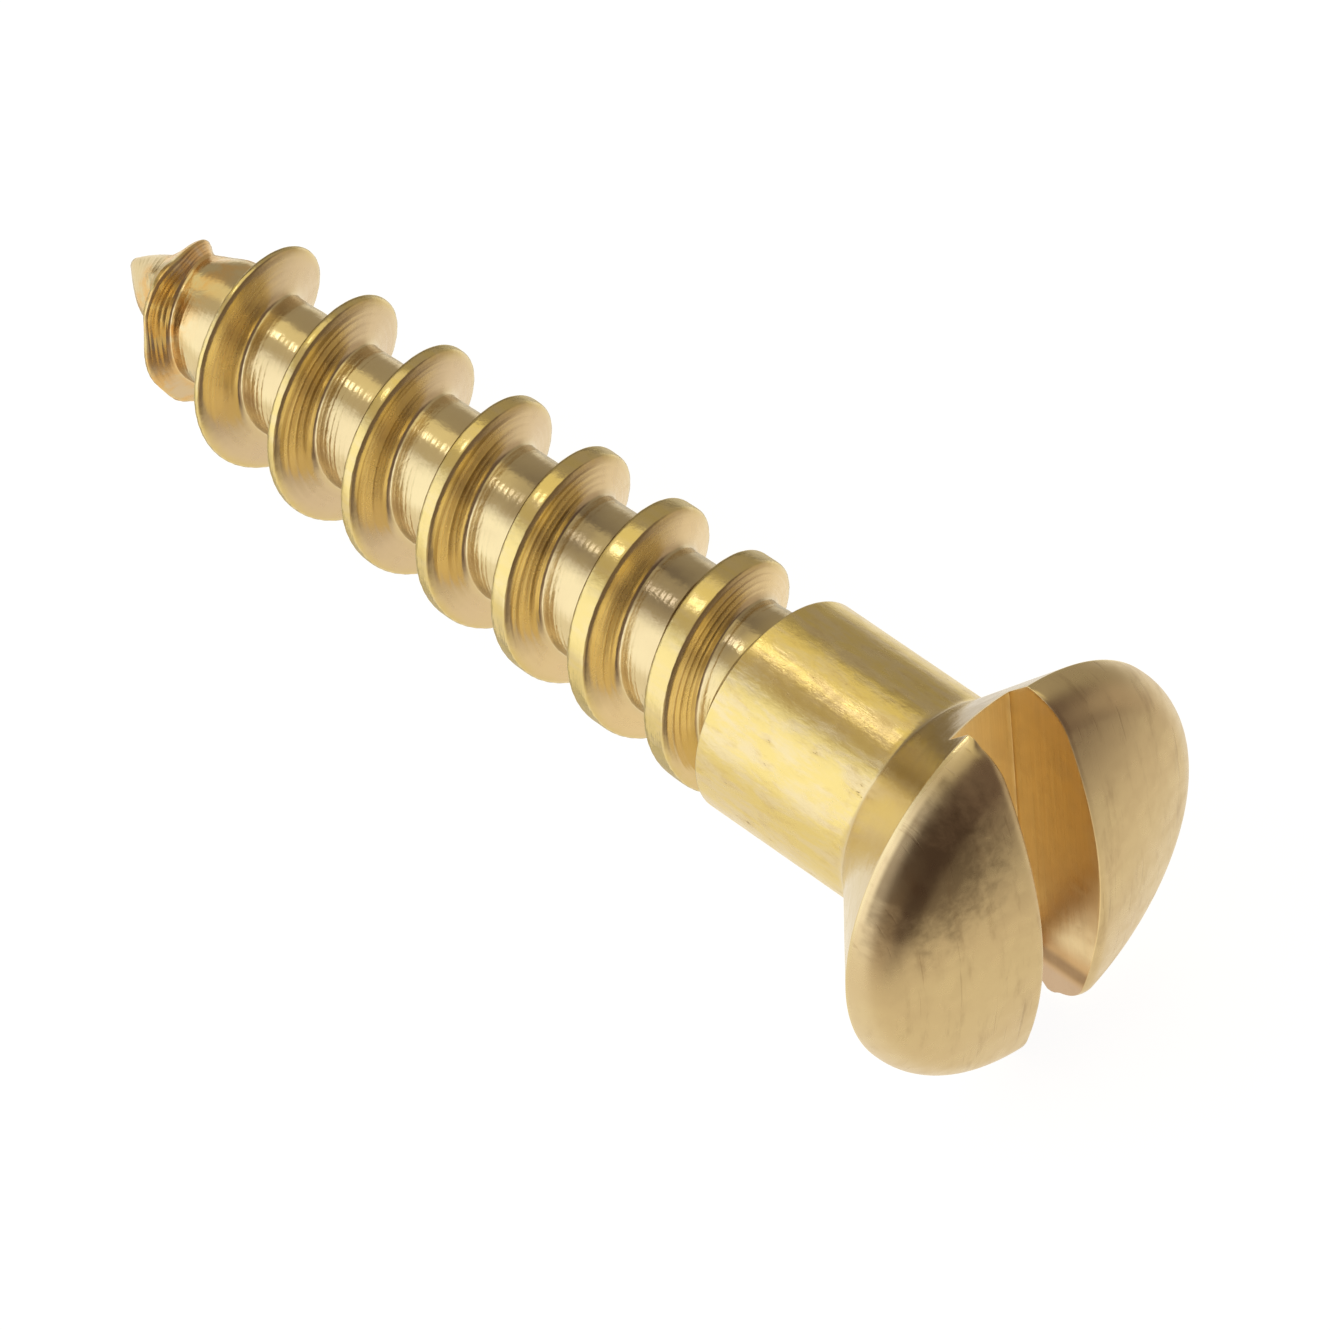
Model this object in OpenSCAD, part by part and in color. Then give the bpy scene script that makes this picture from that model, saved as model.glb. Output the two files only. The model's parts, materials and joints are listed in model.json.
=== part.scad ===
// Slotted raised countersunk wood screw, cut from one piece of brass.
// The axis lies along X with the head toward +X and the point toward -X.
// The origin is on the axis, in the plane of the head's rim. The slot runs along Z.

/* [Head] */
// Diameter over the rim of the head
head_diameter = 6.7; // [5.5:0.05:8]
// Height of the domed top above the rim plane
dome_height = 1.2; // [0.6:0.05:2]
// Radius of the rounded shoulder between the rim and the crown of the dome
shoulder_radius = 0.75; // [0.3:0.05:1]
// Height of the narrow upright band around the rim
rim_land = 0.08; // [0.02:0.01:0.4]
// Included angle of the countersunk underside
countersink_angle = 90; // [80:1:100]

/* [Slot] */
// Width of the screwdriver slot
slot_width = 1.2; // [0.8:0.05:1.6]
// Depth of the slot below the top of the dome
slot_depth = 1.65; // [1:0.05:2.2]

/* [Shank] */
// Diameter of the plain shank, which is the nominal size of the screw
shank_diameter = 3.5; // [3:0.05:4.2]
// Distance from the rim plane to the end of the plain shank
shank_end = 4.65; // [3:0.05:8]
// Length of the cone where the plain shank falls away to the thread
run_out_length = 0.3; // [0.1:0.05:0.6]

/* [Thread] */
// Distance from the rim plane to the tip of the point
screw_length = 18.3; // [12:0.1:30]
// Distance along the axis between neighbouring crests
pitch = 1.61; // [1.2:0.01:2]
// Diameter over the crests beside the plain shank
crest_diameter = 3.46; // [3:0.02:4]
// Diameter over the crests where the point begins
crest_diameter_at_point = 3.34; // [2.6:0.02:4]
// Diameter of the core beside the plain shank
core_diameter = 2.5; // [1.6:0.02:2.8]
// Diameter of the core where the point begins
core_diameter_at_point = 1.96; // [1.4:0.02:2.8]
// Width of the flat along the top of the thread, beside the plain shank
crest_width = 0.46; // [0.04:0.01:0.6]
// Width of the flat along the top of the thread, where the point begins
crest_width_at_point = 0.14; // [0.04:0.01:0.6]
// Slope of the flank that faces the head, from square to the axis
head_flank_angle = 20; // [5:1:40]
// Slope of the flank that faces the point, from square to the axis
point_flank_angle = 30; // [15:1:45]
// Turn of the thread about the axis
thread_turn = 60; // [0:1:359]

/* [Point] */
// Diameter of the small blunt end
tip_diameter = 0.2; // [0.1:0.05:1]
// Length over which the crests round in to the tip
point_length = 2.8; // [1.5:0.1:5]
// Length over which the core rounds in to the tip
core_point_length = 2.1; // [1:0.1:5]

/* [Hidden] */
brass = [0.80, 0.64, 0.33];
head_radius = head_diameter / 2;
shank_radius = shank_diameter / 2;
tip_radius = tip_diameter / 2;
full_turn = 360;
quarter_turn = 90;
circle_segments = 96;
shoulder_segments = 8;
crown_segments = 14;
// Rings of points per turn of the thread
rings_per_turn = 24;
// How far the thread's core reaches up inside the plain shank
core_overlap = 0.5;
// Depth inside the shank over which the crest sinks into the metal
crest_sink = 0.3;
// Small step from the foot of the run-out cone to the thread's core
run_out_step = 0.05;
// Extra length that carries the slot's cutter clear of the head
clearance = 1;

// The crown is an arc that meets the shoulder arc with no corner.
shoulder_centre = head_radius - shoulder_radius;
crown_rise = dome_height - shoulder_radius;
crown_radius = (pow(shoulder_centre, 2) + pow(dome_height, 2) - pow(shoulder_radius, 2)) / (2 * crown_rise);
crown_centre = dome_height - crown_radius;
crown_half_angle = atan2(shoulder_centre, -crown_centre);

cone_height = (head_radius - shank_radius) / tan(countersink_angle / 2);
cone_base = -rim_land - cone_height;
run_out_radius = core_diameter / 2 + run_out_step;
run_out_base = -shank_end - run_out_length;

crown_points = [
    for (step = [0:crown_segments - 1])
        let (angle = crown_half_angle * step / crown_segments)
        [crown_radius * sin(angle), crown_centre + crown_radius * cos(angle)]
];
shoulder_points = [
    for (step = [0:shoulder_segments])
        let (angle = crown_half_angle + (quarter_turn - crown_half_angle) * step / shoulder_segments)
        [shoulder_centre + shoulder_radius * sin(angle), shoulder_radius * cos(angle)]
];
body_points = [
    [head_radius, -rim_land],
    [shank_radius, cone_base],
    [shank_radius, -shank_end],
    [run_out_radius, run_out_base],
    [0, run_out_base]
];

// Share of the way from one value to another, held between the two ends
function share(value, from, to) = min(1, max(0, (value - from) / (to - from)));
function blend(first, second, amount) = first + (second - first) * amount;

// Radii at a height on the axis: both the core and the crests round in to the tip.
function along(height) = share(height, -shank_end, -screw_length + point_length);
function rounded(body_radius, height, length) =
    blend(tip_radius, body_radius, sin(quarter_turn * share(height, -screw_length, length - screw_length)));
function core_at(height) =
    rounded(blend(core_diameter, core_diameter_at_point, along(height)) / 2, height, core_point_length);
function crest_at(height) =
    rounded(blend(crest_diameter, crest_diameter_at_point, along(height)) / 2, height, point_length);
function crest_height(height) =
    max(0, crest_at(height) - core_at(height)) * (1 - share(height, -shank_end, crest_sink - shank_end));

// Thread section across one pitch, as [share of the pitch, share of the crest height]
full_height = (crest_diameter - core_diameter) / 2;
head_flank_share = full_height * tan(head_flank_angle) / pitch;
point_flank_share = full_height * tan(point_flank_angle) / pitch;
crest_steps = 3;
head_flank_steps = 3;
root_steps = 8;
point_flank_steps = 5;
section_count = crest_steps + head_flank_steps + root_steps + point_flank_steps;
function section(height) =
    let (
        crest_edge = blend(crest_width, crest_width_at_point, along(height)) / pitch / 2,
        root_start = crest_edge + head_flank_share,
        root_end = 1 - crest_edge - point_flank_share
    )
    concat(
        [for (step = [0:crest_steps - 1]) [blend(-crest_edge, crest_edge, step / crest_steps), 1]],
        [for (step = [0:head_flank_steps - 1])
            [blend(crest_edge, root_start, step / head_flank_steps), 1 - step / head_flank_steps]],
        [for (step = [0:root_steps - 1]) [blend(root_start, root_end, step / root_steps), 0]],
        [for (step = [0:point_flank_steps - 1])
            [blend(root_end, 1 - crest_edge, step / point_flank_steps), step / point_flank_steps]]
    );

thread_top = core_overlap - shank_end;
ring_count = ceil((thread_top + screw_length) / pitch * rings_per_turn);
function ring_height(ring) = blend(-screw_length, thread_top, ring / ring_count);
thread_points = [
    for (ring = [0:ring_count])
        let (height = ring_height(ring))
        for (place = section(height))
            let (
                angle = thread_turn + full_turn * (height / pitch - place[0]),
                radius = core_at(height) + crest_height(height) * place[1]
            )
            [radius * cos(angle), radius * sin(angle), height]
];
function ring_point(ring, place) = ring * section_count + (place + section_count) % section_count;
thread_faces = concat(
    [[for (place = [0:section_count - 1]) ring_point(0, section_count - 1 - place)]],
    [[for (place = [0:section_count - 1]) ring_point(ring_count, place)]],
    [
        for (ring = [0:ring_count - 1])
            for (place = [0:section_count - 1])
                [ring_point(ring, place), ring_point(ring + 1, place + 1), ring_point(ring + 1, place)]
    ],
    [
        for (ring = [0:ring_count - 1])
            for (place = [0:section_count - 1])
                [ring_point(ring, place), ring_point(ring, place + 1), ring_point(ring + 1, place + 1)]
    ]
);

module head_and_shank() {
    rotate_extrude($fn = circle_segments)
        polygon(concat(crown_points, shoulder_points, body_points));
}

module slot() {
    translate([-head_diameter, -slot_width / 2, dome_height - slot_depth])
        cube([2 * head_diameter, slot_width, slot_depth + clearance]);
}

module thread() {
    polyhedron(points = thread_points, faces = thread_faces);
}

module wood_screw() {
    color(brass)
        rotate([0, quarter_turn, 0])
            union() {
                difference() {
                    head_and_shank();
                    slot();
                }
                thread();
            }
}

wood_screw();
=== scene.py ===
import json
import math

import bmesh
import bpy
import numpy as np
from mathutils import Matrix, Vector, noise


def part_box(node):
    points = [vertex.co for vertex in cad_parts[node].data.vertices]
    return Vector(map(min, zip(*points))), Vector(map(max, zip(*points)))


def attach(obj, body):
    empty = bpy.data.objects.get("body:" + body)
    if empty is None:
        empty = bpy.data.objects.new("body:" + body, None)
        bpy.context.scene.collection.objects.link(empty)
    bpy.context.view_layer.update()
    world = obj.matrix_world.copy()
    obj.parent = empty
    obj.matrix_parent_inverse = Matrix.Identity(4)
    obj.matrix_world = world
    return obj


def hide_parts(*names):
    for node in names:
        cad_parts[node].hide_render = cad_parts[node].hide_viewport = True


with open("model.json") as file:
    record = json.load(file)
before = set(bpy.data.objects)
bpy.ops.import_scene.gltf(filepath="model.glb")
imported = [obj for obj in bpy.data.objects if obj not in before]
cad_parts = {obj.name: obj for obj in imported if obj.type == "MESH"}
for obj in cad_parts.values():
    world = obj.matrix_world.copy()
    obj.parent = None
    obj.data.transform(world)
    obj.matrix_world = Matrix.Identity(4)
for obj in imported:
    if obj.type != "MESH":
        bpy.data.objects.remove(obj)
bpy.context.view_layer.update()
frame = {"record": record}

# ---------------------------------------------------------------- dimensions, in metres
MM = 0.001
TURN = 2 * math.pi
node_low, node_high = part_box("wood_screw")
mounts = {mount["name"]: mount for mount in frame["record"]["mounts"]}

SCREW_LENGTH = -node_low[0]
HEAD_RADIUS = node_high[1]
DOME_HEIGHT = 1.2 * MM
SHOULDER_RADIUS = 0.75 * MM
RIM_LAND = 0.08 * MM
RIM_ROUNDING = 0.03 * MM
RIM_CORNER = 1.2 * RIM_ROUNDING
SLOT_WIDTH = 1.2 * MM
HALF_SLOT = SLOT_WIDTH / 2
SLOT_FLOOR = DOME_HEIGHT - 1.65 * MM
SHANK_RADIUS = mounts["shank"]["dims"]["r_mm"] * MM
SHANK_END = -4.65 * MM
RUN_OUT_LENGTH = 0.3 * MM
RUN_OUT_STEP = 0.05 * MM
PITCH = 1.61 * MM
# Each pair is a value beside the plain shank, then the value where the point begins.
CREST_RADII = (1.73 * MM, 1.67 * MM)
CORE_RADII = (1.25 * MM, 0.98 * MM)
CREST_WIDTHS = (0.46 * MM, 0.14 * MM)
CREST_RISE = CREST_RADII[0] - CORE_RADII[0]
HEAD_FLANK_ANGLE = math.radians(20)
POINT_FLANK_ANGLE = math.radians(30)
THREAD_TURN = math.radians(60)
TIP_RADIUS = 0.1 * MM
# Heights above the tip between which the crest rises out of the core
THREAD_LEAD = (0.45 * MM, 0.75 * MM)
POINT_LENGTH = 2.8 * MM
CORE_POINT_LENGTH = 2.1 * MM
EDGE_ROUNDING = 0.035 * MM

random = np.random.default_rng(6)


# ---------------------------------------------------------------- camera
VIEW_AZIMUTH = math.radians(-40.95)
VIEW_ELEVATION = math.radians(47.84)
VIEW_ROLL = math.radians(5.90)
VIEW_DISTANCE = 161.5 * MM
VIEW_TARGET = Vector((-4.936, -1.869, 2.266)) * MM
LENS = 305.7
SENSOR_WIDTH = 36
CLIP_START = 0.005
CLIP_END = 5


def make_camera():
    data = bpy.data.cameras.new("camera")
    camera = bpy.data.objects.new("camera", data)
    bpy.context.scene.collection.objects.link(camera)
    back = Vector((
        math.cos(VIEW_AZIMUTH) * math.cos(VIEW_ELEVATION),
        math.sin(VIEW_AZIMUTH) * math.cos(VIEW_ELEVATION),
        math.sin(VIEW_ELEVATION),
    ))
    level = (-back).to_track_quat("-Z", "Y").to_matrix()
    rolled = level @ Matrix.Rotation(-VIEW_ROLL, 3, "Z")
    camera.matrix_world = Matrix.Translation(VIEW_TARGET + back * VIEW_DISTANCE) @ rolled.to_4x4()
    data.lens = LENS
    data.sensor_width = SENSOR_WIDTH
    data.clip_start = CLIP_START
    data.clip_end = CLIP_END
    bpy.context.scene.camera = camera


make_camera()


# ---------------------------------------------------------------- head and neck
# The screw is made with its axis up and laid along X at the end.
CONE_POINTS = 9
# The corner above the cone: how far it turns in degrees, and the share of the turn that is left out
CORNER_POINTS = 5
CORNER_TURN = 45
CORNER_START = 0.15
SHOULDER_POINTS = 15
CROWN_EDGE_POINTS = 5
CROWN_ROWS = 26
CROWN_COLUMNS = 70
# Crowds the crown's rows toward the slot
CROWN_CROWDING = 1.35
FLOOR_ROWS = 12
INNER_RADIUS = 2.45 * MM

# The dome's edge along the slot is worn round, over a width that grows toward one end.
WEAR_WIDTH = 0.05 * MM
WEAR_GROWTH = 0.15 * MM
WEAR_GROWS = (-1.0 * MM, 2.4 * MM)
WEAR_STARTS = (0.0, 0.2 * MM)
WEAR_DEPTH = 0.4
# Keep the divisions in roll_edge clear of zero
LEAST_WIDTH = 1e-9
LEAST_SLOPE = 1e-12


def crown_shape():
    """Centre height, radius and half angle of the crown arc, which meets the shoulder arc smoothly."""
    reach = HEAD_RADIUS - SHOULDER_RADIUS
    rise = DOME_HEIGHT - SHOULDER_RADIUS
    radius = (reach**2 + DOME_HEIGHT**2 - SHOULDER_RADIUS**2) / (2 * rise)
    centre = DOME_HEIGHT - radius
    return centre, radius, math.atan2(reach, -centre)


CROWN_CENTRE, CROWN_RADIUS, CROWN_ANGLE = crown_shape()


def crown_height(radius):
    return CROWN_CENTRE + np.sqrt(CROWN_RADIUS**2 - np.asarray(radius) ** 2)


def cone_radius(height):
    return HEAD_RADIUS + height + RIM_LAND


def rim_profile():
    """Points (radius, height) from the slot's floor level on the cone, round the rim, to INNER_RADIUS."""
    points = []
    for share in np.linspace(0, 1, CONE_POINTS):
        height = SLOT_FLOOR + (-RIM_LAND - RIM_ROUNDING - SLOT_FLOOR) * share
        points.append((cone_radius(height), height))
    centre = (HEAD_RADIUS - RIM_CORNER, -RIM_LAND + RIM_ROUNDING * 0.5)
    for share in np.linspace(CORNER_START, 1, CORNER_POINTS):
        angle = math.radians(-CORNER_TURN + CORNER_TURN * share)
        points.append((centre[0] + RIM_CORNER * math.cos(angle), centre[1] + RIM_CORNER * math.sin(angle)))
    for share in np.linspace(0, 1, SHOULDER_POINTS):
        angle = math.pi / 2 - (math.pi / 2 - CROWN_ANGLE) * share
        radius = HEAD_RADIUS - SHOULDER_RADIUS + SHOULDER_RADIUS * math.sin(angle)
        points.append((radius, SHOULDER_RADIUS * math.cos(angle)))
    last = points[-1][0]
    for share in np.linspace(0, 1, CROWN_EDGE_POINTS)[1:]:
        radius = last + (INNER_RADIUS - last) * share
        points.append((radius, float(crown_height(radius))))
    return points


def smooth_share(value, start, end):
    part = np.clip((value - start) / (end - start), 0, 1)
    return part * part * (3 - 2 * part)


def roll_edge(points):
    """Rounds over the dome along the slot's mouth, more so toward one end, as a worn saw cut is."""
    x, y, z = np.moveaxis(np.asarray(points, float), -1, 0)
    width = WEAR_WIDTH + WEAR_GROWTH * smooth_share(x, *WEAR_GROWS)
    width = width * smooth_share(z, *WEAR_STARTS) + LEAST_WIDTH
    away = np.clip(width - (y - HALF_SLOT), 0, None)
    depth = WEAR_DEPTH * away**2 / width
    radius = np.hypot(x, y)
    on_crown = radius < CROWN_RADIUS * math.sin(CROWN_ANGLE)
    slope_out = np.where(on_crown, radius, radius - (HEAD_RADIUS - SHOULDER_RADIUS))
    slope_up = np.where(on_crown, z - CROWN_CENTRE, z)
    size = np.hypot(slope_out, slope_up) + LEAST_SLOPE
    out = depth * slope_out / size / radius
    return np.stack([x - x * out, np.maximum(y - y * out, HALF_SLOT), z - depth * slope_up / size], -1)


class Shell:
    """Vertices and quads gathered patch by patch. Vertices in one place are joined at the end."""

    def __init__(self):
        self.points = []
        self.faces = []

    def grid(self, rows, flip=False):
        """Adds a patch of quads. rows is an array of shape (m, n, 3)."""
        rows = np.asarray(rows, float)
        m, n = rows.shape[:2]
        start = len(self.points)
        self.points.extend(map(tuple, rows.reshape(-1, 3)))
        for i in range(m - 1):
            for j in range(n - 1):
                a = start + i * n + j
                quad = (a, a + 1, a + n + 1, a + n)
                self.faces.append(quad[::-1] if flip else quad)


def coons(bottom, top, left, right, across):
    """Fills a patch from its four edges. bottom and top run left to right, left and right bottom to top."""
    bottom, top, left, right = (np.asarray(edge, float) for edge in (bottom, top, left, right))
    u = np.linspace(0, 1, len(bottom))[None, :, None]
    v = np.asarray(across, float)[:, None, None]
    ruled = (1 - v) * bottom[None] + v * top[None]
    sides = (1 - u) * left[:, None] + u * right[:, None]
    low = (1 - u) * (1 - v) * bottom[0] + u * (1 - v) * bottom[-1]
    return ruled + sides - (low + (1 - u) * v * top[0] + u * v * top[-1])


def slant(radius):
    """The angle at which a circle of this radius meets the slot's wall."""
    return math.asin(HALF_SLOT / radius)


def inner_arc(angles):
    return [(INNER_RADIUS * math.cos(a), INNER_RADIUS * math.sin(a)) for a in angles]


def crown_patch():
    """The crown on one side of the slot, and where its outer points lie as shares of the half turn."""
    first = slant(INNER_RADIUS)
    away = np.linspace(0, 1, CROWN_ROWS + 1) ** CROWN_CROWDING
    right = first + (math.pi / 4 - first) * away
    top = np.linspace(3 * math.pi / 4, math.pi / 4, CROWN_COLUMNS + 1)
    left = math.pi - right
    reach = math.sqrt(INNER_RADIUS**2 - HALF_SLOT**2)
    chord = [(x, HALF_SLOT) for x in np.linspace(-reach, reach, CROWN_COLUMNS + 1)]
    plan = coons(chord, inner_arc(top), inner_arc(left), inner_arc(right), away)
    crown = roll_edge(np.dstack([plan, crown_height(np.hypot(plan[..., 0], plan[..., 1]))]))
    # from the wall at +X round to the wall at -X
    ring = np.concatenate([right, top[::-1][1:], left[::-1][1:]])
    return crown, (ring - first) / (math.pi - 2 * first)


def rim_strip(profile, shares):
    """The cone's top, the rim and the shoulder on one side of the slot."""
    strip = np.array([
        [(r * math.cos(a), r * math.sin(a), z) for a in (slant(r) + shares * (math.pi - 2 * slant(r)))]
        for r, z in profile
    ])
    return roll_edge(strip)


def slot_wall(crown, strip):
    """The slot's wall, filled from its floor line, both ends and the dome's edge."""
    ends = strip[:, 0]
    reach = ends[0][0]
    floor_line = [(x, HALF_SLOT, SLOT_FLOOR) for x in np.linspace(-reach, reach, CROWN_COLUMNS + 1)]
    lengths = np.concatenate([[0], np.cumsum(np.linalg.norm(np.diff(ends, axis=0), axis=1))])
    wall = coons(floor_line, crown[0], strip[:, -1], ends, lengths / lengths[-1])
    wall[..., 1] = HALF_SLOT
    return wall


def slot_floor(radius):
    rows = []
    for y in np.linspace(-HALF_SLOT, HALF_SLOT, FLOOR_ROWS + 1):
        reach = math.sqrt(radius**2 - y * y)
        rows.append([(x, y, SLOT_FLOOR) for x in np.linspace(-reach, reach, CROWN_COLUMNS + 1)])
    return rows


def head_shell():
    """The dome's two halves, the rim, the slot's walls and floor, and the angles of the ring they end on."""
    profile = rim_profile()
    crown, shares = crown_patch()
    strip = rim_strip(profile, shares)
    wall = slot_wall(crown, strip)
    floor_radius = profile[0][0]

    shell = Shell()
    for turn in ((1, 1, 1), (-1, -1, 1)):
        shell.grid(crown * turn)
        shell.grid(strip * turn)
        shell.grid(wall * turn)
    shell.grid(slot_floor(floor_radius))

    across = np.arcsin(np.linspace(-HALF_SLOT, HALF_SLOT, FLOOR_ROWS + 1) / floor_radius)
    side = across[-1] + shares * (math.pi - 2 * across[-1])
    half = np.concatenate([across[:-1], side[:-1]])
    return shell, np.concatenate([half, math.pi + half, [TURN + across[0]]])


NECK_END = -3.4 * MM
NECK_FILLET = 0.12 * MM
NECK_CONE_POINTS = 16
FILLET_POINTS = 7
NECK_SHANK_POINTS = 14


def neck_profile():
    """Points (radius, height) from the slot's floor level down the cone and along the shank to NECK_END."""
    cone_base = -RIM_LAND - (HEAD_RADIUS - SHANK_RADIUS)
    heights = np.linspace(SLOT_FLOOR, cone_base + NECK_FILLET, NECK_CONE_POINTS)
    points = [(cone_radius(z), z) for z in heights]
    # a small hollow round where the cone runs into the shank
    for share in np.linspace(0, 1, FILLET_POINTS)[1:]:
        height = cone_base + NECK_FILLET * (1 - 2 * share)
        points.append((SHANK_RADIUS + NECK_FILLET * (1 - share) ** 2, height))
    for height in np.linspace(points[-1][1], NECK_END, NECK_SHANK_POINTS)[1:]:
        points.append((SHANK_RADIUS, height))
    return points


# ---------------------------------------------------------------- thread
# The places across one pitch where the section is worked out, and the widths of its blurs
FINE = 1600
PLACES = np.arange(FINE) / FINE
SECTION_SOFTNESS = 0.036 * MM
MASK_SOFTNESS = 0.03 * MM

THREAD_START = -3.48 * MM
THREAD_COLUMNS = 160
RINGS_PER_TURN = 40
SHANK_RINGS = 12
SHANK_MARGIN = 0.02 * MM
RUN_OUT_RINGS = 30
RUN_OUT_MARGIN = 0.05 * MM
END_RINGS = (0.8, 0.5, 0.25)

# Turning lines: their depth, and the waves in each pattern, as number per pitch and weight
LINE_PERIOD = 0.1 * MM
LINE_DEPTH = 0.008 * MM
LINE_PATTERNS = 5
LINE_COUNT = round(1.35 * PITCH / LINE_PERIOD)
LINE_WAVES = ((LINE_COUNT, 1.0), (LINE_COUNT * 2 - 3, 0.45), (round(LINE_COUNT * 0.45), 0.6))
STRIPE_MIDDLE = 0.5
STRIPE_SWING = 0.45
# Shares of the lines' depth on the crests and in the roots
CREST_LINES = 0.12
ROOT_LINES = 0.1
# Slow changes in the lines' depth along the helix
DRIFT_MIDDLE = 0.35
DRIFT_SWING = 0.65
DRIFT_PACE = 2.3
DRIFT_ROW = 4.1
DRIFT_BASE = 0.7
DRIFT_WEIGHT = 0.5
# Slow waver of the whole surface along the helix
WOBBLE_DEPTH = 0.008 * MM
WOBBLE_PACE = 5.0
WOBBLE_ROW = 7.0
# Draws the thread in, so that the lines and the wobble stay inside the CAD surface
CUT_MARGIN = 0.004 * MM
UNION_SOFTNESS = 0.02 * MM

LUMP_DEPTH = 0.17 * MM
LUMP_SIZE = 0.7 * MM
LUMP_LENGTH = 2.6 * MM


def share_of(value, start, end):
    return np.clip((value - start) / (end - start), 0, 1)


def blend(first, second, amount):
    return first + (second - first) * amount


def along(height):
    """Share of the way from the end of the plain shank to the start of the point."""
    return share_of(height, SHANK_END, -SCREW_LENGTH + POINT_LENGTH)


def rounded(body, height, length):
    """Rounds a radius in to the tip over the last length of the screw."""
    share = share_of(height, -SCREW_LENGTH, length - SCREW_LENGTH)
    return blend(TIP_RADIUS, body, math.sin(math.pi / 2 * share))


def core_at(height):
    return rounded(blend(*CORE_RADII, along(height)), height, CORE_POINT_LENGTH)


def crest_at(height):
    core = core_at(height)
    crest = rounded(blend(*CREST_RADII, along(height)), height, POINT_LENGTH)
    return blend(core, max(core, crest), smooth_share(height + SCREW_LENGTH, *THREAD_LEAD))


def kernel(width):
    """The spectrum of a blur over one closed pitch, by width in metres."""
    offset = (PLACES - 0.5) * PITCH
    weights = np.exp(-0.5 * (offset / width) ** 2)
    return np.fft.fft(np.roll(weights / weights.sum(), -FINE // 2))


SECTION_BLUR = kernel(SECTION_SOFTNESS)
MASK_BLUR = kernel(MASK_SOFTNESS)


def soften(values, blur):
    return np.real(np.fft.ifft(np.fft.fft(values) * blur))


def between(start, end):
    """A soft mask of the part of the pitch between two places."""
    return soften(((PLACES > start) & (PLACES < end)).astype(float), MASK_BLUR)


def thread_section(height):
    """A ring's columns as shares of the pitch and, at each, the share of the crest height and two masks."""
    edge = blend(*CREST_WIDTHS, along(height)) / PITCH / 2
    root_start = edge + CREST_RISE * math.tan(HEAD_FLANK_ANGLE) / PITCH
    root_end = 1 - edge - CREST_RISE * math.tan(POINT_FLANK_ANGLE) / PITCH
    corners = [0, edge, root_start, root_end, 1 - edge, 1]
    shape = soften(np.interp(PLACES, corners, [1, 1, 0, 0, 1, 1]), SECTION_BLUR)
    steep = between(edge, root_start)
    root = between(root_start, root_end)
    # the columns lie evenly along the section's outline
    length = np.concatenate([[0], np.cumsum(np.hypot(np.gradient(shape) * CREST_RISE, PITCH / FINE))])
    arc = np.linspace(0, length[-1], THREAD_COLUMNS, endpoint=False)
    columns = np.interp(arc, length[:-1], PLACES)
    return columns, *(np.interp(columns, PLACES, values) for values in (shape, steep, root))


def line_patterns():
    """Patterns of fine turning lines across one pitch, as sums of a few waves."""
    share = np.arange(THREAD_COLUMNS) / THREAD_COLUMNS
    patterns = []
    for _ in range(LINE_PATTERNS):
        pattern = np.zeros(THREAD_COLUMNS)
        for cycles, weight in LINE_WAVES:
            phase = random.uniform(0, TURN)
            pattern += weight * np.sin(TURN * cycles * share + phase)
        patterns.append(pattern)
    return np.array(patterns)


def turning_lines(patterns, turns):
    """The lines after a number of turns. They drift slowly from one pattern to the next."""
    first = int(turns) % LINE_PATTERNS
    return blend(patterns[first], patterns[(first + 1) % LINE_PATTERNS], turns % 1)


def point_lumps(radius, angle, height):
    """Uneven metal round the point, where the cutter began the first turn."""
    start = SCREW_LENGTH - LUMP_LENGTH
    amount = LUMP_DEPTH * float(smooth_share(-height, start, SCREW_LENGTH - LUMP_LENGTH / 2))
    if amount == 0:
        return 0
    places = ring_points(radius, angle, height)
    lumps = np.array([noise.noise(Vector(place / LUMP_SIZE)) for place in places])
    return amount * lumps * np.clip(radius / LUMP_SIZE, 0, 1)


def ring_points(radius, angle, height):
    return np.stack([radius * np.cos(angle), radius * np.sin(angle), np.full_like(angle, height)], -1)


def ring_heights():
    """Heights of the rings: a few on the shank, close ones over the run-out, then even ones to the tip."""
    shank = np.linspace(THREAD_START, SHANK_END + SHANK_MARGIN, SHANK_RINGS)
    run_out = np.linspace(SHANK_END, SHANK_END - RUN_OUT_LENGTH - RUN_OUT_MARGIN, RUN_OUT_RINGS)
    steps = int((SCREW_LENGTH + run_out[-1]) / PITCH * RINGS_PER_TURN)
    thread = np.linspace(run_out[-1], -SCREW_LENGTH, steps + 1)[1:]
    return np.concatenate([shank, run_out, thread])


def body_at(height):
    """Radius of the plain shank and its run-out cone, which ends just past the cone's foot."""
    depth = -SHANK_END + RUN_OUT_LENGTH
    radii = [SHANK_RADIUS, CORE_RADII[0] + RUN_OUT_STEP, 0]
    return np.interp(-height, [-SHANK_END, depth, depth + SHANK_MARGIN], radii)


def joined(radius, body):
    """The larger of the thread's radius and the body's, with a small hollow round between them."""
    if body >= SHANK_RADIUS:
        return np.full_like(radius, SHANK_RADIUS)
    if body > 0:
        radius = (radius + body + np.sqrt((radius - body) ** 2 + UNION_SOFTNESS**2)) / 2
    return np.minimum(radius, SHANK_RADIUS)


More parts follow.
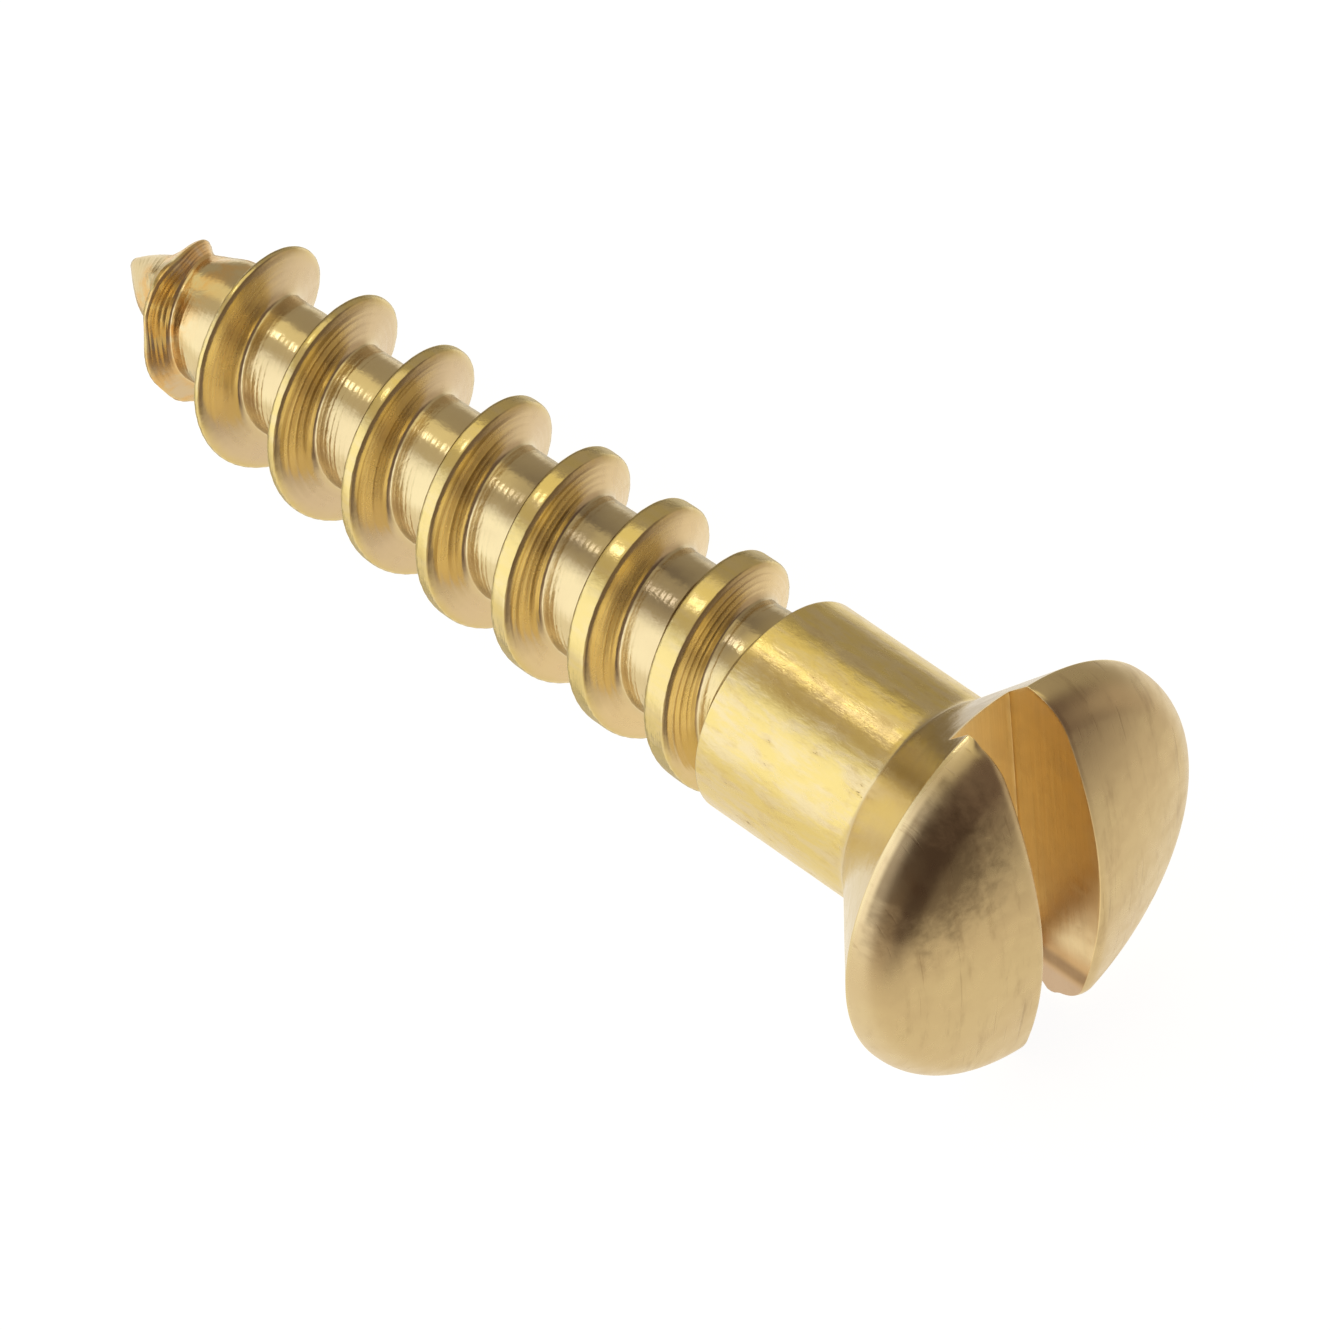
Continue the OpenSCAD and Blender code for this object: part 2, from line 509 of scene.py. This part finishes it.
def thread_ring(height, patterns):
    """One ring of points, with the values that the material reads at each."""
    columns, shape, steep, root = thread_section(height)
    core = core_at(height)
    radius = joined(core + (crest_at(height) - core) * shape, body_at(height))
    cut = float(share_of(height, SHANK_END - RUN_OUT_LENGTH / 2, SHANK_END - 2 * RUN_OUT_LENGTH))
    turns = -height / PITCH
    lines = turning_lines(patterns, turns)
    drift = DRIFT_MIDDLE + DRIFT_SWING * noise.noise(Vector((turns * DRIFT_PACE, DRIFT_ROW, 0.0)))
    where = CREST_LINES + (1 - CREST_LINES) * np.maximum(steep, root * ROOT_LINES)
    depth = LINE_DEPTH * cut * where * (DRIFT_BASE + DRIFT_WEIGHT * drift)
    wobble = WOBBLE_DEPTH * cut * noise.noise(Vector((turns * WOBBLE_PACE, 0.0, WOBBLE_ROW)))
    radius = radius - depth * (1 + lines / 2) + wobble - CUT_MARGIN * cut
    angle = THREAD_TURN + TURN * (min(height, SHANK_END) / PITCH - columns)
    radius = radius + point_lumps(radius, angle, height)
    stripes = np.clip(STRIPE_MIDDLE + STRIPE_SWING * lines, 0, 1)
    return ring_points(radius, angle, height), np.stack([steep * cut, root * cut, stripes * cut], -1)


def thread_rows():
    """Rings of points and their marks from the shank to the tip."""
    patterns = line_patterns()
    rings = [thread_ring(height, patterns) for height in ring_heights()]
    rows, marks = (list(values) for values in zip(*rings))
    # close the blunt end
    last = rows[-1]
    for inward in END_RINGS:
        rows.append(last * (inward, inward, 1))
        marks.append(marks[-1])
    return np.array(rows), np.array(marks)


# ---------------------------------------------------------------- the screw
JOIN_DISTANCE = 1e-8
SHARP_ANGLE = math.radians(40)
BEVEL_SEGMENTS = 3
SLOT_MARGIN = 0.002 * MM


def zip_rings(mesh, first, second):
    """Joins two rings of different counts round the same axis with triangles."""

    def angle(v):
        return math.atan2(v.co.y, v.co.x)

    a = sorted(first, key=angle)
    b = sorted(second, key=angle)
    i = j = 0
    while i < len(a) or j < len(b):
        next_a = angle(a[(i + 1) % len(a)]) + (TURN if i + 1 >= len(a) else 0)
        next_b = angle(b[(j + 1) % len(b)]) + (TURN if j + 1 >= len(b) else 0)
        if j >= len(b) or (i < len(a) and next_a <= next_b):
            mesh.faces.new((a[i % len(a)], a[(i + 1) % len(a)], b[j % len(b)]))
            i += 1
        else:
            mesh.faces.new((a[i % len(a)], b[(j + 1) % len(b)], b[j % len(b)]))
            j += 1


def add_shell(mesh, shell):
    """Adds the head and neck as one skin, and gives the ring of vertices that it ends on."""
    verts = [mesh.verts.new(point) for point in shell.points]
    for face in shell.faces:
        mesh.faces.new([verts[i] for i in face])
    bmesh.ops.remove_doubles(mesh, verts=mesh.verts, dist=JOIN_DISTANCE)
    bmesh.ops.recalc_face_normals(mesh, faces=mesh.faces)
    return [vert for vert in mesh.verts if vert.is_boundary]


def round_sharp_edges(mesh):
    sharp = [edge for edge in mesh.edges if edge.is_manifold and edge.calc_face_angle(0) > SHARP_ANGLE]
    bmesh.ops.bevel(
        mesh, geom=sharp, offset=EDGE_ROUNDING, segments=BEVEL_SEGMENTS, profile=0.5,
        affect="EDGES", clamp_overlap=True,
    )


def mark_head(mesh, regions):
    """Marks the slot in blue and the dome in alpha."""
    for vert in mesh.verts:
        x, y, z = vert.co
        in_slot = abs(y) < HALF_SLOT + SLOT_MARGIN and z > SLOT_FLOOR - SLOT_MARGIN
        vert[regions] = (0, 0, float(in_slot), float(z > 0 and not in_slot))


def add_ring(mesh, row, mark, regions, lines):
    """Adds one ring of the thread. Marks the steep flank in red and the root in green."""
    ring = []
    for place, (steep, root, line) in zip(row, mark):
        vert = mesh.verts.new(place)
        vert[regions] = (steep, root, 0, 0)
        vert[lines] = line
        ring.append(vert)
    return ring


def add_thread(mesh, regions, lines):
    """Adds the thread and its closed tip, and gives its first ring."""
    grid = [add_ring(mesh, row, mark, regions, lines) for row, mark in zip(*thread_rows())]
    for upper, lower in zip(grid, grid[1:]):
        for j in range(THREAD_COLUMNS):
            k = (j + 1) % THREAD_COLUMNS
            mesh.faces.new((upper[j], upper[k], lower[k], lower[j]))
    tip = mesh.verts.new((0, 0, -SCREW_LENGTH))
    for j in range(THREAD_COLUMNS):
        mesh.faces.new((grid[-1][j], grid[-1][(j + 1) % THREAD_COLUMNS], tip))
    return grid[0]


def build_mesh():
    shell, angles = head_shell()
    neck_rows = [[(r * math.cos(a), r * math.sin(a), z) for a in angles] for r, z in neck_profile()]
    shell.grid(neck_rows, flip=True)

    mesh = bmesh.new()
    regions = mesh.verts.layers.float_color.new("regions")
    lines = mesh.verts.layers.float.new("lines")
    neck_ring = add_shell(mesh, shell)
    round_sharp_edges(mesh)
    mark_head(mesh, regions)
    thread_ring = add_thread(mesh, regions, lines)
    zip_rings(mesh, neck_ring, thread_ring)
    # lay the axis along X, with the head toward +X
    mesh.transform(Matrix.Rotation(math.pi / 2, 4, "Y"))
    bmesh.ops.recalc_face_normals(mesh, faces=mesh.faces)
    return mesh


def keep_inside(mesh):
    """Draws in any point that stands past the CAD node's box."""
    for vert in mesh.verts:
        for axis in range(3):
            vert.co[axis] = min(max(vert.co[axis], node_low[axis]), node_high[axis])


def build_screw():
    mesh = build_mesh()
    keep_inside(mesh)
    data = bpy.data.meshes.new("screw")
    mesh.to_mesh(data)
    mesh.free()
    for polygon in data.polygons:
        polygon.use_smooth = True
    screw = bpy.data.objects.new("brass_screw", data)
    bpy.context.scene.collection.objects.link(screw)
    return screw


screw = build_screw()
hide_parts("wood_screw")
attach(screw, "root")


# ---------------------------------------------------------------- material
class Graph:
    """Short calls for the shader nodes."""

    def __init__(self, tree):
        self.tree = tree

    def node(self, kind, values=(), **settings):
        made = self.tree.nodes.new(kind)
        for name, value in settings.items():
            setattr(made, name, value)
        for name, value in dict(values).items():
            self.put(made.inputs[name], value)
        return made

    def put(self, socket, value):
        if isinstance(value, bpy.types.NodeSocket):
            self.tree.links.new(value, socket)
        else:
            socket.default_value = value

    def math(self, operation, first, second=0.5, third=0.0, clamp=False):
        made = self.node("ShaderNodeMath", operation=operation, use_clamp=clamp)
        for socket, value in zip(made.inputs, (first, second, third)):
            self.put(socket, value)
        return made.outputs[0]

    def times(self, first, second):
        return self.math("MULTIPLY", first, second)

    def add_part(self, value, weight, base):
        """base plus weight times value."""
        return self.math("MULTIPLY_ADD", value, weight, base)

    def ramp(self, value, low, high, from_value=0.0, to_value=1.0):
        """A smooth step of value between low and high."""
        made = self.node(
            "ShaderNodeMapRange",
            {"Value": value, "From Min": low, "From Max": high, "To Min": from_value, "To Max": to_value},
            interpolation_type="SMOOTHSTEP",
        )
        return made.outputs[0]

    def window(self, value, rise, fall):
        """1 between two smooth steps, 0 outside them. Each step is where the value gives 0, then 1."""
        return self.times(self.ramp(value, *rise), self.ramp(value, *fall))

    def mix(self, amount, first, second):
        made = self.node("ShaderNodeMix", data_type="RGBA")
        self.put(made.inputs[0], amount)
        self.put(made.inputs[6], first)
        self.put(made.inputs[7], second)
        return made.outputs[2]

    def stretch(self, vector, scale):
        made = self.node("ShaderNodeVectorMath", {0: vector, 1: scale}, operation="MULTIPLY")
        return made.outputs[0]

    def distance(self, first, second):
        made = self.node("ShaderNodeVectorMath", {0: first, 1: second}, operation="DISTANCE")
        return made.outputs["Value"]

    def noise(self, vector, scale, detail, roughness, distortion=0.0):
        made = self.node("ShaderNodeTexNoise", {
            "Vector": vector, "Scale": scale, "Detail": detail,
            "Roughness": roughness, "Distortion": distortion,
        })
        return made.outputs["Fac"]


BRASS = (0.74, 0.62, 0.36, 1)
BRASS_GOLD = (0.75, 0.60, 0.22, 1)
BRASS_WARM = (0.55, 0.39, 0.15, 1)
BRASS_TAN = (0.68, 0.54, 0.32, 1)
# painted reflection of the warm table, pink, for the head-facing flanks
BRASS_REFLECTED_PINK = (0.69, 0.56, 0.42, 1)
# painted interreflection: the orange that the slot's walls throw on each other
BRASS_REFLECTED_ORANGE = (0.92, 0.74, 0.43, 1)
BRASS_BROWN = (0.24, 0.14, 0.065, 1)
# painted dark reflection on the dome
BRASS_DARK_REFLECTION = (0.17, 0.115, 0.065, 1)
# painted shade, in the roots and under the head
BRASS_PAINTED_SHADE = (0.30, 0.24, 0.17, 1)
# painted interreflection, a deeper orange toward the slot's lower end
BRASS_DEEP_INTERREFLECTION = (0.62, 0.40, 0.18, 1)
BRASS_PALE = (0.58, 0.42, 0.28, 1)
BRASS_COPPER = (0.80, 0.51, 0.19, 1)
# painted highlight colour for the flanks and the turning lines
BRASS_PAINTED_HIGHLIGHT = (0.98, 0.78, 0.40, 1)

# The material works in millimetres.
PER_METRE = (1000, 1000, 1000)
# Directions across the screw, as (Y, Z)
UPPER_SIDE = (0.86, 0.51)
TOP_SIDE = (-0.51, 0.86)

# Noise patterns: scale, detail, roughness and distortion, and how some are stretched
BLOTCH = (0.8, 4, 0.55, 0.3)
MOTTLE = (3.2, 5, 0.6, 0.3)
STREAK = (2.6, 6, 0.62, 0.2)
STREAK_STRETCH = (0.45, 1.6, 1.6)
GRAIN = (5.0, 4, 0.6)
GRAIN_STRETCH = (0.25, 3.0, 3.0)
PITTING = (3.4, 5, 0.7)
PITTING_STRETCH = (0.6, 1.5, 1.5)
SAW = (1.5, 3, 0.6)
SAW_STRETCH = (9.0, 9.0, 0.2)
DIRT = (1.3, 5, 0.65)
DIRT_STRETCH = (1.0, 3.0, 0.6)
SCRATCH = (1.6, 2, 0.5)
SCRATCH_TURN = (0.5, 0.0, 0.2)
SCRATCH_STRETCH = (1.0, 9.0, 0.35)

# Smooth steps of a place in millimetres: where the mask is 0, then where it is 1
SHANK_FOOT = (-4.75, -4.6)
SHANK_TOP = (-1.6, -1.75)
POINT_START = (-16.0, -16.6)
POINT_STOP = (-17.9, -17.6)
THREAD_TOP = (-4.7, -4.9)
UPPER_HALF = (-0.2, 0.4)
MID_FLANK = (0.6, 1.2)
CONE_FOOT = (-1.75, -1.6)
CONE_TOP = (-0.06, -0.14)
DOME_BASE = (0.02, 0.12)
SLOT_LOW_END = (-1.8, -2.3)
SLOT_LINE_START = (-2.25, -2.45)
SLOT_LINE_STOP = (-2.8, -2.55)
SLOT_PALE_END = (-2.6, -2.85)
BAND_START = (0.0, 0.25)
BAND_STOP = (0.7, 0.45)

# Smooth steps of a pattern: from, to, and the share of the mark at each
PIT_LEVEL = (0.665, 0.72)
SCRATCH_LEVEL = (0.66, 0.70)
TAN_BLOTCHES = (0.4, 0.66, 0.0, 0.4)
SHANK_GOLD = (0.38, 0.6, 0.05, 0.9)
SHANK_WARMTH = (0.5, 0.68, 0.0, 0.3)
DOME_TAN = (0.35, 0.65, 0.6, 0.9)
SLOT_INTERREFLECTION = (0.3, 0.7, 0.95, 0.7)
FLANK_REFLECTED_PINK = (0.35, 0.65, 0.95, 0.7)
FLANK_PAINTED_HIGHLIGHT = (-13.0, -6.0, 0.1, 0.45)
PAINTED_HIGHLIGHT_LINES = (0.35, 0.55, 0.45, 1.0)
PAINTED_SHADE_LINES = (0.35, 0.15, 0.0, 0.55)
SATIN_LINES = (0.2, 0.6, 0.3, 1.0)
CREST_GOLD = (0.35, 0.6, 0.3, 0.75)
ROOT_SHADE_ALONG = (-11.5, -8.5, 0.05, 0.95)
ROOT_SHADE_ACROSS = (1.05, 0.6, 0.35, 1.0)
ROOT_SHADE_BLOTCHES = (0.35, 0.6, 0.7, 1.0)
POINT_COPPER = (0.38, 0.6, 0.0, 0.8)
DOME_DIRT = (0.5, 0.8, 0.0, 0.35)
CONE_PAINTED_SHADE = (0.0, 1.0, 0.15, 0.8)
ROUGHNESS = (0.35, 0.7, 0.13, 0.22)

# Shares of single marks
PITS_ON_DOME = 0.15
PIT_STAIN = 0.75
SCRATCH_STAIN = 0.2
SLOT_LINE_DARKENING = 0.7
BAND_WARMTH = 0.45
STREAKY_BAND = 1.2

# The painted dark reflection on the dome: its middle and how far the streaks carry its edge, in millimetres
DARK_REFLECTION_MIDDLE = (0.25, -2.15, 2.1)
DARK_REFLECTION_STREAKS = 1.6
DARK_REFLECTION_SHAPE = (1.7, 0.5, 0.0, 0.74)

# What each region adds to the roughness, and what the satin lines take from the metallic value
DOME_ROUGHNESS = 0.14
SHANK_ROUGHNESS = 0.07
SLOT_ROUGHNESS = 0.16
STEEP_ROUGHNESS = 0.08
SATIN = -0.34

# Heights of the marks in the relief, and the height in metres that 1 stands for
SMOOTHER = -0.8
STREAK_RELIEF = 0.6
GRAIN_RELIEF = 0.2
SAW_RELIEF = 0.35
PIT_RELIEF = -0.8
SCRATCH_RELIEF = -0.12
RELIEF_STRENGTH = 0.6
RELIEF_HEIGHT = 0.000014


class Brass(Graph):
    """Worn brass: blotchy tarnish, streaks and pits on the shank, faint scratches, and painted light: grey
    painted shade in the thread's roots and under the head, painted highlights on the flanks, and painted
    reflections on the flanks, the dome and in the slot.
    """

    def __init__(self, tree):
        super().__init__(tree)
        self.read_places()
        self.read_regions()
        self.make_masks()
        self.make_patterns()
        self.colour = BRASS

    def read_places(self):
        place = self.node("ShaderNodeTexCoord").outputs["Object"]
        self.place = self.stretch(place, PER_METRE)
        self.along, self.across, self.up = self.node("ShaderNodeSeparateXYZ", {0: self.place}).outputs
        self.sideways = self.toward(UPPER_SIDE)
        self.upper_side = self.ramp(self.sideways, *UPPER_HALF)

    def toward(self, direction):
        """How far a place lies from the axis in a direction across the screw."""
        return self.math("ADD", self.times(self.across, direction[0]), self.times(self.up, direction[1]))

    def read_attribute(self, name):
        return self.node("ShaderNodeAttribute", attribute_name=name, attribute_type="GEOMETRY").outputs

    def read_regions(self):
        """The masks that the mesh carries, and its pattern of turning lines."""
        regions = self.read_attribute("regions")
        split = self.node("ShaderNodeSeparateColor", {0: regions["Color"]}).outputs
        self.steep, self.root, self.slot = split[0], split[1], split[2]
        self.dome = regions["Alpha"]
        self.lines = self.read_attribute("lines")["Fac"]

    def make_masks(self):
        self.shank = self.window(self.along, SHANK_FOOT, SHANK_TOP)
        self.point = self.window(self.along, POINT_START, POINT_STOP)
        flat = self.math("SUBTRACT", 1.0, self.math("ADD", self.steep, self.root), clamp=True)
        self.crest = self.times(flat, self.ramp(self.along, *THREAD_TOP))
        self.flank_mid = self.times(self.steep, self.ramp(self.toward(TOP_SIDE), *MID_FLANK))

    def stretched_noise(self, scale, settings):
        return self.noise(self.stretch(self.place, scale), *settings)

    def make_patterns(self):
        self.blotch = self.noise(self.place, *BLOTCH)
        self.mottle = self.noise(self.place, *MOTTLE)
        self.streak = self.stretched_noise(STREAK_STRETCH, STREAK)
        self.grain = self.stretched_noise(GRAIN_STRETCH, GRAIN)
        self.pitting = self.stretched_noise(PITTING_STRETCH, PITTING)
        pitted = self.add_part(self.dome, PITS_ON_DOME, self.shank)
        self.pits = self.times(self.ramp(self.pitting, *PIT_LEVEL), pitted)
        turned = {"Vector": self.place, "Rotation": SCRATCH_TURN, "Scale": SCRATCH_STRETCH}
        scratch = self.noise(self.node("ShaderNodeMapping", turned).outputs[0], *SCRATCH)
        self.scratches = self.times(self.ramp(scratch, *SCRATCH_LEVEL), self.dome)
        self.saw = self.stretched_noise(SAW_STRETCH, SAW)

    def paint(self, colour, amount):
        self.colour = self.mix(amount, self.colour, colour)

    def paint_by(self, colour, region, pattern, step):
        """Paints a region by a smooth step of a pattern."""
        self.paint(colour, self.times(region, self.ramp(pattern, *step)))

    def streaky(self, weight, value):
        """A value that the streaks carry up and down."""
        return self.add_part(self.math("SUBTRACT", self.streak, 0.5), weight, value)

    def paint_metal_and_reflections(self):
        """The clean metal's shades on each region, with painted interreflection orange in the slot and a
        painted reflection of the warm table, pink, on the flanks that face the head.
        """
        self.paint(BRASS_TAN, self.ramp(self.blotch, *TAN_BLOTCHES))
        self.paint_by(BRASS_GOLD, self.shank, self.streak, SHANK_GOLD)
        self.paint_by(BRASS_WARM, self.shank, self.pitting, SHANK_WARMTH)
        self.paint_by(BRASS_TAN, self.dome, self.blotch, DOME_TAN)
        # painted interreflection: orange over most of the slot
        self.paint_by(BRASS_REFLECTED_ORANGE, self.slot, self.saw, SLOT_INTERREFLECTION)
        # painted reflection: the warm table's pink on the head-facing flanks
        self.paint_by(BRASS_REFLECTED_PINK, self.steep, self.blotch, FLANK_REFLECTED_PINK)

    def paint_thread(self):
        """Painted highlights on the head-facing flanks, painted highlights and shade along the turning
        lines, golden crests, painted grey shade in the roots on the upper side and a coppery point.
        """
        # painted highlight on the head-facing flanks, stronger toward the shank
        self.paint_by(BRASS_PAINTED_HIGHLIGHT, self.steep, self.along, FLANK_PAINTED_HIGHLIGHT)
        # painted highlights and painted shade along the turning lines on the upper flanks
        self.paint_by(BRASS_PAINTED_HIGHLIGHT, self.flank_mid, self.lines, PAINTED_HIGHLIGHT_LINES)
        self.paint_by(BRASS_BROWN, self.flank_mid, self.lines, PAINTED_SHADE_LINES)
        self.paint_by(BRASS_GOLD, self.crest, self.streak, CREST_GOLD)
        # painted shade: grey in the roots on the upper side, toward the shank
        root_shade = self.times(self.times(self.root, self.upper_side), self.ramp(self.along, *ROOT_SHADE_ALONG))
        root_shade = self.times(root_shade, self.ramp(self.sideways, *ROOT_SHADE_ACROSS))
        self.paint_by(BRASS_PAINTED_SHADE, root_shade, self.blotch, ROOT_SHADE_BLOTCHES)
        self.paint_by(BRASS_COPPER, self.point, self.mottle, POINT_COPPER)

    def paint_wear_and_dark_reflection(self):
        """Brown in the pits and scratches, a painted dark reflection on the dome, and dirt rubbed across it.
        """
        self.paint(BRASS_BROWN, self.times(self.pits, PIT_STAIN))
        self.paint(BRASS_BROWN, self.times(self.scratches, SCRATCH_STAIN))
        # painted dark reflection: a streaky dark patch on the dome
        patch = self.streaky(DARK_REFLECTION_STREAKS, self.distance(self.place, DARK_REFLECTION_MIDDLE))
        patch = self.times(self.dome, self.ramp(patch, *DARK_REFLECTION_SHAPE))
        self.paint(BRASS_DARK_REFLECTION, self.times(patch, self.ramp(self.along, *DOME_BASE)))
        self.paint_by(BRASS_BROWN, self.dome, self.stretched_noise(DIRT_STRETCH, DIRT), DOME_DIRT)

    def paint_cone(self):
        """Painted shade on the underside of the head, grey and strongest on its upper side, so that it is
        darker than the shank.
        """
        cone = self.math("SUBTRACT", self.window(self.along, CONE_FOOT, CONE_TOP), self.slot, clamp=True)
        # painted shade under the head, strongest on the upper side
        self.paint_by(BRASS_PAINTED_SHADE, cone, self.upper_side, CONE_PAINTED_SHADE)

    def paint_slot(self):
        """Painted interreflection, a deeper orange toward the slot's lower end, then a dark line and a paler
        end.
        """
        # painted interreflection: deeper orange toward the slot's lower end
        self.paint_by(BRASS_DEEP_INTERREFLECTION, self.slot, self.up, SLOT_LOW_END)
        line = self.times(self.slot, self.window(self.up, SLOT_LINE_START, SLOT_LINE_STOP))
        # a dark line across the slot near its lower end
        self.paint(BRASS_BROWN, self.times(line, SLOT_LINE_DARKENING))
        self.paint_by(BRASS_PALE, self.slot, self.up, SLOT_PALE_END)

    def paint_band(self):
        """A darker band along the shank."""
        band = self.window(self.streaky(STREAKY_BAND, self.sideways), BAND_START, BAND_STOP)
        self.paint(BRASS_WARM, self.times(self.times(self.shank, band), BAND_WARMTH))

    def roughness(self):
        rough = self.ramp(self.mottle, *ROUGHNESS)
        rough = self.add_part(self.dome, DOME_ROUGHNESS, rough)
        rough = self.add_part(self.shank, SHANK_ROUGHNESS, rough)
        rough = self.add_part(self.slot, SLOT_ROUGHNESS, rough)
        return self.add_part(self.steep, STEEP_ROUGHNESS, rough)

    def metallic(self):
        """The middle of the flank is slightly satin, along the lines painted as highlights."""
        satin = self.times(self.flank_mid, self.ramp(self.lines, *SATIN_LINES))
        return self.add_part(satin, SATIN, 1.0)

    def relief(self):
        uneven = self.add_part(self.math("ADD", self.dome, self.steep), SMOOTHER, 1.0)
        relief = self.times(self.mottle, self.add_part(self.slot, SMOOTHER, uneven))
        relief = self.add_part(self.times(self.streak, self.shank), STREAK_RELIEF, relief)
        relief = self.add_part(self.times(self.grain, self.shank), GRAIN_RELIEF, relief)
        relief = self.add_part(self.times(self.saw, self.slot), SAW_RELIEF, relief)
        relief = self.add_part(self.pits, PIT_RELIEF, relief)
        return self.add_part(self.scratches, SCRATCH_RELIEF, relief)


def brass_material():
    material = bpy.data.materials.new("brass")
    material.use_nodes = True
    shader = material.node_tree.nodes["Principled BSDF"].inputs
    brass = Brass(material.node_tree)
    brass.paint_metal_and_reflections()
    brass.paint_thread()
    brass.paint_wear_and_dark_reflection()
    brass.paint_cone()
    brass.paint_slot()
    brass.paint_band()
    brass.put(shader["Base Color"], brass.colour)
    brass.put(shader["Roughness"], brass.roughness())
    brass.put(shader["Metallic"], brass.metallic())
    bump = brass.node(
        "ShaderNodeBump", {"Height": brass.relief(), "Strength": RELIEF_STRENGTH, "Distance": RELIEF_HEIGHT}
    )
    brass.put(shader["Normal"], bump.outputs[0])
    return material


screw.data.materials.append(brass_material())


# ---------------------------------------------------------------- floor and light
FLOOR_GLOW = 0.93
FLOOR_SIZE = 3.0
FLOOR_GAP = 0.02 * MM
FLOOR_COLOUR = (0.25, 0.25, 0.25, 1)
FLOOR_ROUGHNESS = 0.9
WHITE = (1, 1, 1, 1)

LAMP_WAY = Vector((-0.507, 0.083, 0.858))
LAMP_DISTANCE = 0.5
LAMP_SIZE = 0.07
LAMP_POWER = 0.034

# The studio's colours beside the screw, then beyond its head
WALL = (0.42, 0.36, 0.27, 1)
WINDOW = (1.34, 1.33, 1.3, 1)
CEILING_NEAR = (0.62, 0.54, 0.40, 1)
CEILING_FAR = (0.95, 0.84, 0.55, 1)
TABLE = (1.02, 0.95, 0.82, 1)
ROOM = (0.18, 0.13, 0.11, 1)
ROOM_SIDES = (0.56, 0.46, 0.36, 1)
ROOM_TABLE = (0.92, 0.82, 0.64, 1)

# Where one part of the studio gives way to the next, as parts of a direction
WINDOW_EDGE = (-0.17, -0.82)
CEILING_SPLIT = (-0.06, 0.09)
CEILING_SLOPE = (-0.12, 0.12, 0.0, 0.12)
CEILING_EDGE = (0.86, 0.95)
TABLE_EDGE = (-0.06, -0.46)
ROOM_SIDE_EDGE = (0.6, 0.9)
ROOM_SIDE_TOP = (0.45, 0.0)
ROOM_TABLE_EDGE = (-0.27, -0.68)
HEAD_FACING = (-0.1, 0.28)
# A little over 1, so that a direction straight along the axis divides by more than zero
OVER_ONE = 1.001


def make_floor():
    """A plain pale floor that the rim of the head and the last crests lie on."""
    near_tip = -SCREW_LENGTH + POINT_LENGTH
    tilt = math.atan2(HEAD_RADIUS - CREST_RADII[1], -near_tip)
    corners = [(-1, -1), (1, -1), (1, 1), (-1, 1)]
    data = bpy.data.meshes.new("floor")
    data.from_pydata([(x * FLOOR_SIZE, y * FLOOR_SIZE, 0) for x, y in corners], [], [(0, 1, 2, 3)])
    floor = bpy.data.objects.new("floor", data)
    bpy.context.scene.collection.objects.link(floor)
    drop = Matrix.Translation((0, 0, -HEAD_RADIUS - FLOOR_GAP))
    floor.matrix_world = drop @ Matrix.Rotation(tilt, 4, "Y")
    floor.visible_glossy = False
    floor.visible_shadow = False
    data.materials.append(floor_material())


def floor_material():
    material = bpy.data.materials.new("floor")
    material.use_nodes = True
    shader = material.node_tree.nodes["Principled BSDF"].inputs
    shader["Base Color"].default_value = FLOOR_COLOUR
    shader["Roughness"].default_value = FLOOR_ROUGHNESS
    shader["Specular IOR Level"].default_value = 0.0
    shader["Emission Color"].default_value = WHITE
    shader["Emission Strength"].default_value = FLOOR_GLOW
    return material


def make_lamp():
    data = bpy.data.lights.new("lamp", "AREA")
    data.shape = "SQUARE"
    data.size = LAMP_SIZE
    data.energy = LAMP_POWER
    lamp = bpy.data.objects.new("lamp", data)
    bpy.context.scene.collection.objects.link(lamp)
    way = LAMP_WAY.normalized()
    facing = way.to_track_quat("Z", "Y").to_matrix().to_4x4()
    lamp.matrix_world = Matrix.Translation(way * LAMP_DISTANCE) @ facing


def light_beside(g, x, y, z):
    """What the sides of the screw reflect: long lights, a ceiling and a table that run beside it."""
    span = g.math("SQRT", g.math("SUBTRACT", OVER_ONE, g.times(x, x)))
    side = g.math("DIVIDE", y, span)
    rise = g.math("DIVIDE", z, span)
    wall = g.mix(g.ramp(side, *WINDOW_EDGE), WALL, WINDOW)
    ceiling = g.mix(g.ramp(side, *CEILING_SPLIT), CEILING_NEAR, CEILING_FAR)
    height = g.math("ADD", rise, g.ramp(side, *CEILING_SLOPE))
    upper = g.mix(g.ramp(height, *CEILING_EDGE), wall, ceiling)
    return g.mix(g.ramp(rise, *TABLE_EDGE), upper, TABLE)


def light_beyond(g, y, z):
    """What the dome and the flanks that face the head reflect: a dim room and the table in it."""
    far_off = g.ramp(g.math("ABSOLUTE", y), *ROOM_SIDE_EDGE)
    room = g.mix(g.times(far_off, g.ramp(z, *ROOM_SIDE_TOP)), ROOM, ROOM_SIDES)
    return g.mix(g.ramp(z, *ROOM_TABLE_EDGE), room, ROOM_TABLE)


def make_world():
    """A soft studio: bright and long beside the screw, dimmer beyond its head."""
    world = bpy.data.worlds.new("studio")
    bpy.context.scene.world = world
    world.use_nodes = True
    g = Graph(world.node_tree)
    way = g.node("ShaderNodeTexCoord").outputs["Generated"]
    x, y, z = g.node("ShaderNodeSeparateXYZ", {0: way}).outputs
    light = g.mix(g.ramp(x, *HEAD_FACING), light_beside(g, x, y, z), light_beyond(g, y, z))
    background = world.node_tree.nodes["Background"]
    g.put(background.inputs["Color"], light)
    background.inputs["Strength"].default_value = 1.0


make_floor()
make_world()
make_lamp()
bpy.context.scene.view_settings.view_transform = "Standard"
